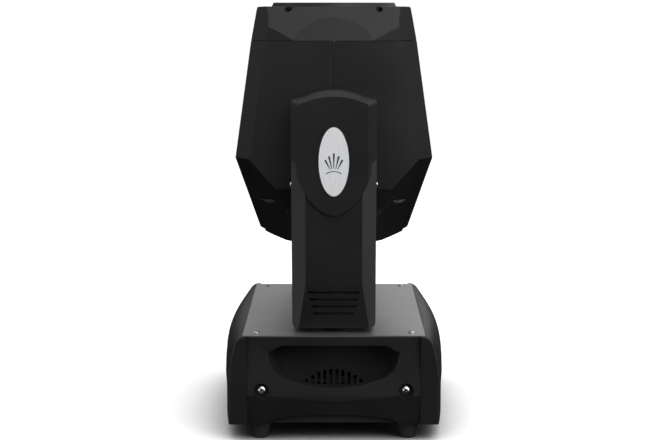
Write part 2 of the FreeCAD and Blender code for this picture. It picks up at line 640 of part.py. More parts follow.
def lower_arm_form(inset):
    """The arm's long lower body: bevelled in plan, with its foot leaning in below the louvres."""
    i = inset
    half, face = ARM_HALF - i, ARM_FACE - i
    outline = prism_xz(arm_outline(half, ARM_TOP - 6 - i, ARM_BOTTOM + i), -face, -ARM_SPLIT)
    inside = Vector(0, -120, 300)
    planes = []
    for sx in (1, -1):
        planes.append([Vector(sx * 51, -145, 0), Vector(sx * 34, -ARM_FACE, 0), Vector(sx * 51, -145, 50)])
    planes.append([Vector(0, -ARM_FACE, 191), Vector(20, -ARM_FACE, 191),
                   Vector(0, -ARM_FACE + 4.5, ARM_BOTTOM)])
    return clip(outline, planes, inside, i)


def shield_region():
    """Where the arm's raised shield lies: all of the crown, ending in a long U below the tilt axis."""
    wide, narrow, start, bottom = 60.0, 44.5, TILT_Z + 4, 274.0
    sides = [Vector(-narrow, 0, start - 14), Vector(-wide, 0, start), Vector(-wide, 0, 440),
             Vector(wide, 0, 440), Vector(wide, 0, start), Vector(narrow, 0, start - 14)]
    edges = [Part.LineSegment(a, b) for a, b in zip(sides, sides[1:])]
    low = Vector(0, 0, bottom)
    bulge_x, bulge_z = 32.0, 297.0
    curve = Part.BSplineCurve()
    curve.interpolate([sides[-1], Vector(bulge_x, 0, bulge_z), low, Vector(-bulge_x, 0, bulge_z), sides[0]])
    return Part.Wire([e.toShape() for e in edges] + [curve.toShape()])


def shield_form(inset):
    """The raised shield: a bevel of even width runs round its crown and sides."""
    i, low = inset, 250.0
    rim = arm_outline(ARM_HALF - i, ARM_TOP - i, low)
    flat = arm_outline(ARM_HALF - 10.2 - i, ARM_TOP - 6.8 - i, low, shoulder_drop=7.2, arch_half=27.0, arch_drop=3.8,
                       corner=6.0)
    rim.translate(Vector(0, -146 + i, 0))
    flat.translate(Vector(0, -SHIELD_FACE + i, 0))
    bevel = Part.makeLoft([rim, flat], True, True)
    back = prism_xz(arm_outline(ARM_HALF - i, ARM_TOP - i, low), -146 + i, -ARM_SPLIT)
    region = prism_xz(shield_region(), -200, -100)
    return fuse([bevel, back]).common(region)


ARM_SCREW_SEAT = ARM_HALF - 0.55
ARM_SCREW_Z = 307.0


def arm_cover():
    """Outer cover of the arm on the -Y side."""
    body = fuse([lower_arm_form(0.0), shield_form(0.0)])
    body = rounded(body, 6.0, lambda e: along(e, Y_AXIS) and e.BoundBox.ZMax < ARM_BOTTOM + 1)
    cavity = fuse([lower_arm_form(WALL), shield_form(WALL)])
    shell = body.cut(cavity)
    first, pitch, slot_half_height = 180.3, 8.7, 1.75
    slots = []
    for i in range(4):
        half = 31.0 - 2.0 * i
        z = first - pitch * i
        slots.append(box(-half, half, -160, -130, z - slot_half_height, z + slot_half_height))
    screw_hole = rod(1.8, -60, 60, X_AXIS, (-120, ARM_SCREW_Z))
    seats = [rod(3.8, ARM_SCREW_SEAT, 60, X_AXIS, (-120, ARM_SCREW_Z)),
             rod(3.8, -60, -ARM_SCREW_SEAT, X_AXIS, (-120, ARM_SCREW_Z))]
    return shell.cut([*slots, screw_hole, *seats])


def arm_liner():
    """Inner cover of the arm on the -Y side, round the trunnion and the steel upright."""
    outline = arm_outline(ARM_HALF, ARM_TOP, BRIDGE_TOP + SEAM)
    body = prism_xz(outline, -ARM_SPLIT + 0.2, -ARM_INNER)
    body = rounded(body, 2.0, lambda e: e.BoundBox.YMin > -ARM_INNER - 0.01 and e.BoundBox.ZMax > BRIDGE_TOP + 5)
    cavity = prism_xz(arm_outline(ARM_HALF - WALL, ARM_TOP - WALL, BRIDGE_TOP - 5), -ARM_SPLIT - 1,
                      -ARM_INNER - WALL)
    return body.cut([cavity, rod(22, -120, -100, Y_AXIS, (0, TILT_Z))])


def bridge_cover():
    """Plastic cover over the yoke's cross member."""
    body = box(-50, 50, -ARM_SPLIT + 0.2, ARM_SPLIT - 0.2, ARM_BOTTOM + 0.5, BRIDGE_TOP)
    body = rounded(body, 3.0, lambda e: along(e, Y_AXIS) and e.BoundBox.ZMin > BRIDGE_TOP - 1)
    cavity = box(-50 + WALL, 50 - WALL, -ARM_SPLIT - 1, ARM_SPLIT + 1, ARM_BOTTOM - 1, BRIDGE_TOP - WALL)
    notches = [box(-37, 37, y - 2.4, y + 2.4, 130, 160) for y in (ARM_SPLIT - 2.2, -ARM_SPLIT + 2.2)]
    return body.cut([cavity, *notches])


def badge():
    """Blank oval badge on the shield of the -Y arm."""
    ellipse = Part.Ellipse(Vector(0, 0, 0), 42.0, 19.0).toShape()
    wire = Part.Wire([ellipse])
    plate = Part.Face(wire).extrude(Vector(0, 0, 1.4))
    plate = rounded(plate, 0.6, lambda e: e.BoundBox.ZMin > 1.3)
    plate.rotate(Vector(0, 0, 0), Z_AXIS, 90)
    plate.rotate(Vector(0, 0, 0), X_AXIS, 90)
    plate.translate(Vector(0, -SHIELD_FACE, 338.5))
    return plate


def arm_cover_screws():
    """Screws through both edges of each arm cover."""
    screw = pan_screw(3.6, 2.6, 1.6, 6)
    return four_ways(placed(screw, (ARM_SCREW_SEAT, 120, ARM_SCREW_Z), X_AXIS))


def tilt_bearings():
    ring = fuse([tube(24, TRUNNION_RADIUS + RUN, 110.0, 124, Y_AXIS, (0, TILT_Z)),
                 tube(30, TRUNNION_RADIUS + RUN, 110.0, 113, Y_AXIS, (0, TILT_Z))])
    return [ring, mirrored(ring, Y_AXIS)]


def tilt_motor():
    motor = stepper(21.2, 23, 2.5, 13.5, 11)
    return placed(motor, (0, -133.5, TILT_MOTOR_Z), Y_AXIS * -1)


def tilt_motor_pulley():
    pulley = toothed_pulley(TILT_MOTOR_PULLEY_RADIUS, 15, 10, 2.5 + RUN)
    return placed(pulley, (0, -TILT_PULLEY_Y, TILT_MOTOR_Z), Y_AXIS * -1)


def tilt_belt():
    loop = belt((0, 0), TILT_PULLEY_RADIUS + 0.3, (0, TILT_MOTOR_Z - TILT_Z), TILT_MOTOR_PULLEY_RADIUS + 0.3,
                1.2, 6.4)
    loop.rotate(Vector(0, 0, 0), X_AXIS, 90)
    loop.translate(Vector(0, -TILT_PULLEY_Y - 1.8, TILT_Z))
    return loop


# ---- head ---------------------------------------------------------------------------------------

def point(sx, sy, p):
    return Vector(sx * p[0], sy * p[1], p[2])


# The head's silhouette on the XZ plane, from its crown to its foot.
SILHOUETTE = ((95.5, 513.0), (102.2, 478.0), (122.8, 334.0), (94.7, 240.0))
# Corners of the raised side panel: the crease beside the flat, and the outer step.
FLAT_TOP, FLAT_LOW = (47.5, 98.0, 479.0), (72.0, 98.0, 298.5)
STEP_TOP, STEP_MID, STEP_LOW = (76.3, 92.0, 518.0), (103.8, 91.4, 334.0), (88.0, 42.0, 246.0)
CORNER_MID = (122.8, 64.0, 334.0)
BROW = ((0.0, 93.8, 491.0), (50.0, 93.8, 491.0), (0.0, 84.0, 518.0))


def head_core(inset):
    """The head without its raised side panels: a faceted barrel with chamfered corners."""
    form = box(-150, 150, -90 + inset, 90 - inset, 180, HEAD_TOP - inset)
    planes = []
    for sx in (1, -1):
        for a, b in zip(SILHOUETTE, SILHOUETTE[1:]):
            planes.append([Vector(sx * a[0], 0, a[1]), Vector(sx * b[0], 0, b[1]),
                           Vector(sx * a[0], 50, a[1])])
        for sy in (1, -1):
            upper = [(STEP_TOP[0], 90.0, STEP_TOP[2]), (STEP_MID[0], 89.4, STEP_MID[2]), CORNER_MID]
            lower = [upper[1], CORNER_MID, (89.0, 30.0, 246.0)]
            planes += [[point(sx, sy, p) for p in corners] for corners in (upper, lower)]
    planes += [[point(1, sy, p) for p in BROW] for sy in (1, -1)]
    return clip(form, planes, HEAD_CENTRE, inset)


def side_panel_wire(inset):
    """Outline of the raised side panel in XZ."""
    i = inset
    half = [(STEP_TOP[0] - i, HEAD_TOP - i), (STEP_MID[0] - i, STEP_MID[2]), (STEP_LOW[0] - i, STEP_LOW[2]),
            (84.0 - i, 190.0)]
    return polygon_xz(half + [(-x, z) for x, z in reversed(half)])


def side_panels(inset):
    """Both raised side panels as one block: flat middle, angled flanks, sloping brow, cut-back foot."""
    form = prism_xz(side_panel_wire(inset), -HEAD_SIDE + inset, HEAD_SIDE - inset)
    planes = []
    for sy in (1, -1):
        foot = [(72.0, 98.0, 298.5), (-72.0, 98.0, 298.5), (0.0, 86.8, 262.0)]
        planes += [[point(1, sy, p) for p in corners] for corners in (foot, BROW)]
        for sx in (1, -1):
            flank = [FLAT_TOP, FLAT_LOW, STEP_MID]
            cheek = [STEP_MID, FLAT_LOW, STEP_LOW]
            planes += [[point(sx, sy, p) for p in corners] for corners in (flank, cheek)]
    return clip(form, planes, HEAD_CENTRE, inset)


PAD_SIDE = HEAD_SIDE + 0.6     # the crown pads stand a little proud of the flats


def crown_pads(inset):
    """The arched pads on the front cap, above each flat, that lean in towards the lens."""
    i, low = inset, CAP_SEAM_Z
    half = FLAT_TOP[0] - i
    arch = Part.Arc(Vector(half, 0, 482), Vector(0, 0, 507 - i), Vector(-half, 0, 482))
    corners = [Vector(-half, 0, 482), Vector(-half, 0, low), Vector(half, 0, low), Vector(half, 0, 482)]
    edges = [arch] + [Part.LineSegment(a, b) for a, b in zip(corners, corners[1:])]
    form = prism_xz(Part.Wire([e.toShape() for e in edges]), -PAD_SIDE + i, PAD_SIDE - i)
    planes = [[Vector(0, sy * PAD_SIDE, CAP_SEAM_Z), Vector(20, sy * PAD_SIDE, CAP_SEAM_Z),
               Vector(0, sy * 91.6, 507)]
              for sy in (1, -1)]
    return clip(form, planes, HEAD_CENTRE, i)


def domed_foot(form, inset):
    """The form with its foot rounded off by a large cylinder along Y and leant in at its sides."""
    half, corner_z = SILHOUETTE[-1]
    sag = corner_z - HEAD_BOTTOM
    radius = (half ** 2 + sag ** 2) / (2 * sag)
    dome = rod(radius - inset, -200, 200, Y_AXIS, (0, HEAD_BOTTOM + radius))
    above = box(-150, 150, -150, 150, corner_z + 4, 600)
    low = HEAD_BOTTOM
    lean = [[Vector(0, sy * 74, low + 24), Vector(20, sy * 74, low + 24), Vector(0, sy * 52, low)]
            for sy in (1, -1)]
    return clip(form.common(fuse([dome, above])), lean, HEAD_CENTRE, inset)


def head_form(inset):
    """The head's outer form, or the hollow inside it. Only the outer form has rounded silhouette edges."""
    core = domed_foot(head_core(inset), inset)
    if inset == 0:
        core = rounded(core, 3.0, lambda e: abs(e.CenterOfMass.x) > SILHOUETTE[-1][0] - 3)
    return fuse([core, domed_foot(side_panels(inset), inset), crown_pads(inset)])


def screw_seats():
    """Seat and outward direction of each head screw: four on the cap's brow, four in the cheeks."""
    seats = []
    for sx in (1, -1):
        for sy in (1, -1):
            seats.append(((sx * 58.0, sy * 82.0, 513.5), Vector(-sx * 0.62, sy * 0.3, 0.72), 3.6))
            seats.append(((sx * 72.4, sy * 79.7, 281.0), Vector(sx * 0.906, -sy * 0.423, 0), 4.3))
    return seats


def head_shell():
    """The whole hollow head, before it is parted into covers and cap."""
    outer = head_form(0.0)
    shell = outer.cut(head_form(WALL))
    bosses = [placed(rod(bore + 2.2, -3, 60), seat, way).common(outer) for seat, way, bore in screw_seats()]
    wells = [placed(rod(bore, 0, 60), seat, way) for seat, way, bore in screw_seats()]
    wells += [placed(rod(1.45, -3.5, 1), seat, way) for seat, way, bore in screw_seats()]
    return fuse([shell, *bosses]).cut([*wells, rod(22, -150, 150, Y_AXIS, (0, TILT_Z))])


def head_parts():
    """The front cap and the two half covers of the head."""
    shell = head_shell()
    lens_well = rod(RING_RADIUS - 6, 490, 540)
    cap = shell.common(box(-150, 150, -150, 150, CAP_SEAM_Z + SEAM, 540)).cut(lens_well)
    halves = []
    for sx in (1, -1):
        x0, x1 = sorted((sx * 0.15, sx * 150))
        half = shell.common(box(x0, x1, -150, 150, 180, CAP_SEAM_Z - SEAM))
        halves.append(half.cut(exhaust_slots()))
    return cap, halves[0], halves[1]


def exhaust_slots():
    """Slots through the head's foot for the fan."""
    slots = []
    for i in range(-4, 5):
        y = i * 9.0
        half = 40 - 0.6 * abs(i) ** 2
        slots += [box(*sorted((sx * 3, sx * half)), y - 2, y + 2, 205, 226) for sx in (1, -1)]
    return slots


def lens_ring():
    """Bezel round the front lens, with a skirt that holds the lens."""
    ring = Part.makeCone(RING_RADIUS, RING_RADIUS - 2.2, RING_TOP - HEAD_TOP, Vector(0, 0, HEAD_TOP))
    ring = rounded(ring, 1.2, lambda e: e.BoundBox.ZMin > RING_TOP - 0.1)
    skirt = rod(RING_RADIUS - 7, 500, HEAD_TOP + 1)
    throat = Part.makeCone(66, 70, 6.1, Vector(0, 0, RING_TOP - 6))
    return fuse([ring, skirt]).cut([throat, rod(66, 517, 522), rod(69, 499, 517.5)])


def front_lens():
    """Plano-convex front lens, held inside the ring's skirt."""
    height, edge = 8.0, 4.0
    radius = (65.5 ** 2 + height ** 2) / (2 * height)
    dome = Part.makeSphere(radius, Vector(0, 0, 517 + height - 2 - radius)).common(rod(65.5, 516, 540))
    return fuse([rod(68.8, 517.3 - edge, 517.3), dome])


def head_cover_screws():
    """The screws in the wells of the covers and cap."""
    screws = []
    for seat, way, bore in screw_seats():
        screws.append(placed(pan_screw(bore - 0.7, 2.0, 1.4, 2.5), seat, way))
    return screws


ENGINE_Z = 300.0          # where the heat sink meets the frame's lower cross plate


def head_frame():
    """Inner frame: two side plates and three cross plates."""
    plates = [box(-52, 52, sy * 79.5 - 1.5, sy * 79.5 + 1.5, 264, 470) for sy in (1, -1)]
    middle = box(-52, 52, -78, 78, 343, 346).cut([rod(26, 340, 350), rod(8, 340, 350, at=(48, 0))])
    upper = box(-52, 52, -78, 78, 467, 470).cut(rod(44, 460, 480))
    lower = box(-52, 52, -78, 78, ENGINE_Z, ENGINE_Z + 2).cut(box(-27, 27, -27, 27, 290, 310))
    bores = [rod(12, -100, 100, Y_AXIS, (0, TILT_Z))]
    rod_holes = [rod(4.0, 342, 480, at=(0, sy * 56)) for sy in (1, -1)]
    return fuse([*plates, middle, upper, lower]).cut([*bores, *rod_holes])


def guide_rods():
    return [rod(4.0, 343, 470, at=(0, sy * 56)) for sy in (1, -1)]


def trunnions():
    """Hollow stub shafts that carry the head."""
    parts = [rod(30, 81, 85, Y_AXIS, (0, TILT_Z)), rod(20, 85, 103.6, Y_AXIS, (0, TILT_Z)),
             rod(TRUNNION_RADIUS, 103.6, 148, Y_AXIS, (0, TILT_Z))]
    shaft = fuse(parts).cut(rod(9, 70, 160, Y_AXIS, (0, TILT_Z)))
    return [shaft, mirrored(shaft, Y_AXIS)]


def tilt_pulley():
    pulley = toothed_pulley(TILT_PULLEY_RADIUS, 76, 10, TRUNNION_RADIUS + 0.02)
    return placed(pulley, (0, -TILT_PULLEY_Y, TILT_Z), Y_AXIS * -1)


def heat_sink():
    base = box(-50, 50, -50, 50, 292, 300)
    fins = [box(x - 0.9, x + 0.9, -50, 50, 256, 292) for x in range(-49, 50, 7)]
    return fuse([base, *fins])


def light_engine():
    """LED board with its emitter and collimating lens."""
    board = box(-26, 26, -26, 26, 300, 302)
    emitter = box(-7, 7, -7, 7, 302, 304)
    collimator = Part.makeCone(12, 22, 18, Vector(0, 0, 304))
    return fuse([board, emitter, collimator])


WHEEL_RADIUS, WHEEL_RING = 63.0, 48.0


def filter_wheel(x, z, holes, hole_radius):
    """A thin wheel turning about a vertical axis at x, with a ring of round windows over the beam."""
    disc = rod(WHEEL_RADIUS, z, z + 1.5, at=(x, 0))
    hub = rod(9, z - 1.5, z + 3, at=(x, 0))
    windows = []
    for i in range(holes):
        angle = 2 * math.pi * i / holes
        turn = angle if x < 0 else angle + math.pi
        centre = (x + WHEEL_RING * math.cos(turn), WHEEL_RING * math.sin(turn))
        windows.append(rod(hole_radius, z - 1, z + 3, at=centre))
    return fuse([disc, hub]).cut([*windows, rod(2.5 + RUN, z - 5, z + 5, at=(x, 0))])


def colour_wheel():
    return filter_wheel(-48.0, 328.0, 9, 13.0)


def pattern_wheel():
    return filter_wheel(48.0, 336.0, 8, 12.0)


def wheel_motors():
    motor = stepper(17.5, 22, 2.5, 10, 6)
    lower = placed(stepper(17.5, 20, 2.5, 11, 6), (-48, 0, 322), Z_AXIS)
    upper = placed(motor, (48, 0, 346), Z_AXIS * -1)
    return [lower, upper]


def focus_carriage():
    """Lens carrier that slides on the guide rods."""
    ring = rod(40, 392, 402)
    ears = [rod(9, 392, 402, at=(0, sy * 56)) for sy in (1, -1)]
    arms = [box(-9, 9, 36 if sy > 0 else -56, 56 if sy > 0 else -36, 392, 402) for sy in (1, -1)]
    bores = [rod(4.0 + RUN, 390, 404, at=(0, sy * 56)) for sy in (1, -1)]
    carrier = fuse([ring, *ears, *arms]).cut([rod(32, 396, 404), rod(29, 390, 400), *bores])
    dome = Part.makeSphere(60, Vector(0, 0, 345)).common(rod(31.9, 398, 410))
    lens = fuse([rod(31.9, 396.1, 399), dome])
    return [carrier, lens]


def head_fan_frame():
    return placed(fan_frame(40, 37, 20, 2.5), (0, 0, 236), Z_AXIS)


def head_fan_rotor():
    rotor = fan_rotor(36, 15, 9, 15, 2.5 + RUN)
    rotor = mirrored(rotor, Z_AXIS)
    rotor.translate(Vector(0, 0, 17))
    return placed(rotor, (0, 0, 236), Z_AXIS)


# ---- output -------------------------------------------------------------------------------------

def solids(shape_or_list):
    shapes = shape_or_list if isinstance(shape_or_list, list) else [shape_or_list]
    found = [solid for shape in shapes for solid in shape.Solids]
    return found[0] if len(found) == 1 else Part.makeCompound(found)


def build():
    cap, cover_front, cover_rear = head_parts()
    cover, arm, liner = side_cover(), arm_cover(), arm_liner()
    plate = badge()
    nodes = {
        "base_tray": base_tray(), "quarter_turn_sockets": quarter_turn_sockets(),
        "base_top_plate": base_top_plate(), "top_plate_screws": top_plate_screws(),
        "side_cover_left": cover, "side_cover_right": mirrored(cover, Y_AXIS),
        "display_end_cap": display_end_cap(), "connector_end_cap": connector_end_cap(),
        "display_bezel": display_bezel(), "display_window": display_window(),
        "connector_plate": connector_plate(), "power_inlet": power_inlet(), "data_sockets": data_sockets(),
        "rubber_feet": rubber_feet(), "cover_screws": cover_screws(),
        "pan_support_plate": pan_support_plate(), "pan_bearing": pan_bearing(), "pan_motor": pan_motor(),
        "pan_motor_pulley": pan_motor_pulley(), "pan_belt": pan_belt(),
        "power_supply": power_supply(), "main_board": main_board(),
        "base_fan_frame": base_fan_frame(), "base_fan_rotor": base_fan_rotor(),
        "yoke_frame": yoke_frame(), "pan_shaft": pan_shaft(), "pan_pulley": pan_pulley(),
        "arm_cover_left": arm, "arm_cover_right": mirrored(arm, Y_AXIS),
        "arm_liner_left": liner, "arm_liner_right": mirrored(liner, Y_AXIS),
        "bridge_cover": bridge_cover(), "badges": [plate, mirrored(plate, Y_AXIS)],
        "arm_cover_screws": arm_cover_screws(), "tilt_bearings": tilt_bearings(),
        "tilt_motor": tilt_motor(), "tilt_motor_pulley": tilt_motor_pulley(), "tilt_belt": tilt_belt(),
        "front_cap": cap, "head_cover_front": cover_front, "head_cover_rear": cover_rear,
        "lens_ring": lens_ring(), "front_lens": front_lens(), "head_cover_screws": head_cover_screws(),
        "head_frame": head_frame(), "guide_rods": guide_rods(), "trunnions": trunnions(),
        "tilt_pulley": tilt_pulley(), "heat_sink": heat_sink(), "light_engine": light_engine(),
        "colour_wheel": colour_wheel(), "pattern_wheel": pattern_wheel(), "wheel_motors": wheel_motors(),
        "focus_carriage": focus_carriage(), "head_fan_frame": head_fan_frame(),
        "head_fan_rotor": head_fan_rotor(),
    }
    for name in KEY_PLACES:
        nodes[name] = key(name)
    return nodes


os.makedirs("parts", exist_ok=True)
for node, shape in build().items():
    solids(shape).exportStep(f"parts/{node}.step")
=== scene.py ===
"""Looks of a moving head light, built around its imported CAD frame. Lengths are in metres."""

import json
import math

import bmesh
import bpy
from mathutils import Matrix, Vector


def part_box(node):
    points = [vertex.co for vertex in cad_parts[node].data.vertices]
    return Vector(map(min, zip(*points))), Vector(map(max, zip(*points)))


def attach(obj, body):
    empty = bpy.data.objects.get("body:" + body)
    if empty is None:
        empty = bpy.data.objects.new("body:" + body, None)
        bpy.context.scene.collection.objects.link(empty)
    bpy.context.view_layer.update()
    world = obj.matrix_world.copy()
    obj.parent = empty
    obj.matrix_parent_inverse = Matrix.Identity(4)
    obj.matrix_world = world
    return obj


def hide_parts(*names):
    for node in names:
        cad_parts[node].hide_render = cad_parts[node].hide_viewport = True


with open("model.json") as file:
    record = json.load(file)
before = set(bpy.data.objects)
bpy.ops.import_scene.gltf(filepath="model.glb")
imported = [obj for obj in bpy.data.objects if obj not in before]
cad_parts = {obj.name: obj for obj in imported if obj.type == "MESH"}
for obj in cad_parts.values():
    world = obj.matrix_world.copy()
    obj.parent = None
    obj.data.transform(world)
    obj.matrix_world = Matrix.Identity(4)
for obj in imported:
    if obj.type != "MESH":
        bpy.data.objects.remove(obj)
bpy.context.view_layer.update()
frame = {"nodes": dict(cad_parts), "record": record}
RECORD = frame["record"]
NODES = frame["nodes"]
NODE_SLOT = {part["node"]: part["material_slot"] for part in RECORD["subparts"]}
BODY_OF = {node: body for body, members in RECORD["behaviour"]["bodies"].items()
           for node in members}

MM = 0.001
COVER_CREASE = 0.9 * MM        # how far the big mouldings' creases are rounded
TRIM_CREASE = 0.5 * MM         # and those of the smaller ones
CAMERA_PLACE = (0.0026, -1.8683, 0.5248)
CAMERA_PITCH = 8.5             # degrees below level
CAMERA_LENS, CAMERA_SENSOR = 77.9, 36.0     # millimetres


# ---- node trees ---------------------------------------------------------------------------------

def set_range(node, low, high, to_low, to_high):
    """Fill in a Map Range node."""
    node.inputs["From Min"].default_value = low
    node.inputs["From Max"].default_value = high
    node.inputs["To Min"].default_value = to_low
    node.inputs["To Max"].default_value = to_high


class Tree:
    """A short way to write a material's nodes."""

    def __init__(self, name):
        self.material = bpy.data.materials.new(name)
        self.material.use_nodes = True
        self.tree = self.material.node_tree
        self.tree.nodes.clear()
        self.output = self.node("ShaderNodeOutputMaterial")
        self.shader = self.node("ShaderNodeBsdfPrincipled")
        self.link(self.shader.outputs["BSDF"], self.output.inputs["Surface"])
        self.place = self.node("ShaderNodeTexCoord").outputs["Object"]

    def node(self, kind, **settings):
        made = self.tree.nodes.new(kind)
        for key, value in settings.items():
            setattr(made, key, value)
        return made

    def link(self, a, b):
        self.tree.links.new(a, b)

    def put(self, socket, value):
        if isinstance(value, bpy.types.NodeSocket):
            self.link(value, socket)
        else:
            socket.default_value = value

    def noise(self, scale, detail=2.0, rough=0.5, stretch=None):
        place = self.place
        if stretch:
            mapping = self.node("ShaderNodeMapping")
            mapping.inputs["Scale"].default_value = stretch
            self.link(place, mapping.inputs["Vector"])
            place = mapping.outputs["Vector"]
        made = self.node("ShaderNodeTexNoise")
        made.inputs["Scale"].default_value = scale
        made.inputs["Detail"].default_value = detail
        made.inputs["Roughness"].default_value = rough
        self.link(place, made.inputs["Vector"])
        return made.outputs["Fac"]

    def remap(self, value, low, high, to_low, to_high):
        made = self.node("ShaderNodeMapRange")
        self.put(made.inputs["Value"], value)
        set_range(made, low, high, to_low, to_high)
        return made.outputs["Result"]

    def math(self, operation, a, b=0.0):
        made = self.node("ShaderNodeMath", operation=operation)
        self.put(made.inputs[0], a)
        self.put(made.inputs[1], b)
        return made.outputs[0]

    def blend(self, broad, fine):
        """One value from a broad pattern and, to a smaller share, a fine one."""
        return self.math("ADD", self.math("MULTIPLY", broad, 0.6), self.math("MULTIPLY", fine, 0.4))

    def mix(self, amount, a, b):
        made = self.node("ShaderNodeMix", data_type="RGBA")
        self.put(made.inputs[0], amount)
        self.put(made.inputs[6], a)
        self.put(made.inputs[7], b)
        return made.outputs[2]

    def edges(self, radius):
        """1 along sharp outer edges, 0 on open faces."""
        bevel = self.node("ShaderNodeBevel", samples=4)
        bevel.inputs["Radius"].default_value = radius
        normal = self.node("ShaderNodeNewGeometry").outputs["Normal"]
        dot = self.node("ShaderNodeVectorMath", operation="DOT_PRODUCT")
        self.link(bevel.outputs["Normal"], dot.inputs[0])
        self.link(normal, dot.inputs[1])
        return self.remap(dot.outputs["Value"], 0.99, 0.88, 0.0, 1.0)

    def facing_up(self):
        """1 on top faces, 0 on upright ones."""
        split = self.node("ShaderNodeSeparateXYZ")
        self.link(self.node("ShaderNodeNewGeometry").outputs["Normal"], split.inputs[0])
        return self.remap(split.outputs["Z"], 0.25, 1.0, 0.0, 1.0)

    def bump(self, height, strength, distance):
        made = self.node("ShaderNodeBump")
        made.inputs["Strength"].default_value = strength
        made.inputs["Distance"].default_value = distance
        self.link(height, made.inputs["Height"])
        return made.outputs["Normal"]

    def set(self, **sockets):
        for key, value in sockets.items():
            self.put(self.shader.inputs[key.replace("_", " ")], value)
        return self.material


def grey(value, warmth=0.0):
    return (value * (1 + warmth), value, value * (1 - warmth), 1.0)


def moulded(name, value, rough, grain=1500.0, depth=0.00006, dust=0.35, warmth=0.03):
    """Spark-eroded black plastic: fine grain, slow mottling, dust on top and rubbed edges."""
    t = Tree(name)
    fine = t.noise(grain, 3.0, 0.6)
    slow = t.noise(14.0, 4.0)
    base = t.mix(t.remap(slow, 0.3, 0.7, 0.0, 1.0),
                 grey(value * 0.86, warmth), grey(value * 1.12, warmth))
    specks = t.remap(t.noise(60.0, 5.0, 0.65), 0.35, 0.75, 0.0, dust)
    dusty = t.math("MULTIPLY", t.facing_up(), specks)
    base = t.mix(dusty, base, grey(value * 2.4, warmth))
    rubs = t.remap(t.noise(90.0, 3.0), 0.4, 0.7, 0.1, 0.5)
    worn = t.math("MULTIPLY", t.edges(1.2 * MM), rubs)
    base = t.mix(worn, base, grey(value * 2.2))
    roughness = t.remap(t.blend(slow, fine), 0.3, 0.7, rough - 0.05, rough + 0.06)
    normal = t.bump(fine, 0.55, depth)
    return t.set(Base_Color=base, Roughness=roughness, Normal=normal, Specular_IOR_Level=0.4)


def metal(name, value, rough, stretch=None, grain=900.0, depth=0.00001, metallic=1.0):
    """Metal with a fine directional or even grain, smudges and brighter edges."""
    t = Tree(name)
    lines = t.noise(grain, 3.0, 0.6, stretch)
    smudge = t.noise(22.0, 4.0, 0.6)
    base = t.mix(t.remap(lines, 0.3, 0.7, 0.0, 1.0), grey(value * 0.9), grey(value * 1.1))
    base = t.mix(t.math("MULTIPLY", t.edges(0.6 * MM), 0.4), base, grey(min(value * 1.5, 0.9)))
    roughness = t.remap(t.blend(smudge, lines), 0.3, 0.7, rough - 0.05, rough + 0.07)
    return t.set(Base_Color=base, Metallic=metallic, Roughness=roughness,
                 Normal=t.bump(lines, 0.5, depth))


def rubber(name, value):
    """Matt black rubber, chalky in patches."""
    t = Tree(name)
    fine = t.noise(700.0, 4.0, 0.65)
    base = t.mix(t.remap(t.noise(40.0, 4.0), 0.35, 0.7, 0.0, 1.0), grey(value), grey(value * 1.9))
    return t.set(Base_Color=base, Roughness=t.remap(fine, 0.3, 0.7, 0.72, 0.9),
                 Normal=t.bump(fine, 0.6, 0.00012))


def clear_glass(name, tint, rough):
    """Clear glass with faint smears."""
    t = Tree(name)
    smears = t.noise(30.0, 4.0, 0.6)
    return t.set(Base_Color=tint, Roughness=t.remap(smears, 0.35, 0.75, rough, rough + 0.05),
                 Transmission_Weight=1.0, IOR=1.46, Normal=t.bump(t.noise(18.0), 0.05, 0.0002))


def painted_board(name):
    """Green circuit board with lighter traces under the lacquer."""
    t = Tree(name)
    traces = t.noise(260.0, 2.0, 0.5, (1.0, 4.0, 1.0))
    base = t.mix(t.remap(traces, 0.48, 0.52, 0.0, 1.0),
                 (0.006, 0.045, 0.018, 1), (0.014, 0.09, 0.035, 1))
    return t.set(Base_Color=base, Roughness=t.remap(traces, 0.4, 0.6, 0.28, 0.42),
                 Normal=t.bump(traces, 0.4, 0.00003))


SLOT_MATERIALS = {
    "black_shell": moulded("black_shell_looks", 0.0105, 0.46),
    "black_cover": moulded("black_cover_looks", 0.0100, 0.48),
    "liner_plastic": moulded("liner_plastic_looks", 0.005, 0.5),
    "panel_plastic": moulded("panel_plastic_looks", 0.016, 0.40, 2200.0, 0.00003),
    "key_plastic": moulded("key_plastic_looks", 0.03, 0.42, 2200.0, 0.00003),
    "fan_plastic": moulded("fan_plastic_looks", 0.007, 0.38, 2200.0, 0.00003, 0.6),
    "inlet_plastic": moulded("inlet_plastic_looks", 0.011, 0.36, 2200.0, 0.00003),
    "plate_steel": metal("plate_steel_looks", 0.30, 0.42, None, 1400.0, 0.00002, 0.85),
    "tray_steel": metal("tray_steel_looks", 0.03, 0.45, None, 1400.0, 0.00003, 0.3),
    "frame_steel": metal("frame_steel_looks", 0.45, 0.36, (1.0, 12.0, 1.0)),
    "shaft_steel": metal("shaft_steel_looks", 0.6, 0.25, (1.0, 1.0, 14.0)),
    "bearing_steel": metal("bearing_steel_looks", 0.55, 0.22),
    "screw_steel": metal("screw_steel_looks", 0.62, 0.22),
    "dark_screws": metal("dark_screws_looks", 0.05, 0.34),
    "aluminium": metal("aluminium_looks", 0.55, 0.34, (1.0, 1.0, 10.0)),
    "motor_steel": metal("motor_steel_looks", 0.14, 0.36),
    "badge_silver": metal("badge_silver_looks", 0.72, 0.3, None, 2000.0),
    "socket_metal": metal("socket_metal_looks", 0.42, 0.3),
    "rubber": rubber("rubber_looks", 0.012),
    "belt_rubber": rubber("belt_rubber_looks", 0.01),
    "board": painted_board("board_looks"),
    "display_glass": moulded("display_glass_looks", 0.004, 0.12, 400.0, 0.000004, 0.2, -0.05),
    "lens_glass": clear_glass("lens_glass_looks", (0.96, 0.98, 1.0, 1), 0.02),
}


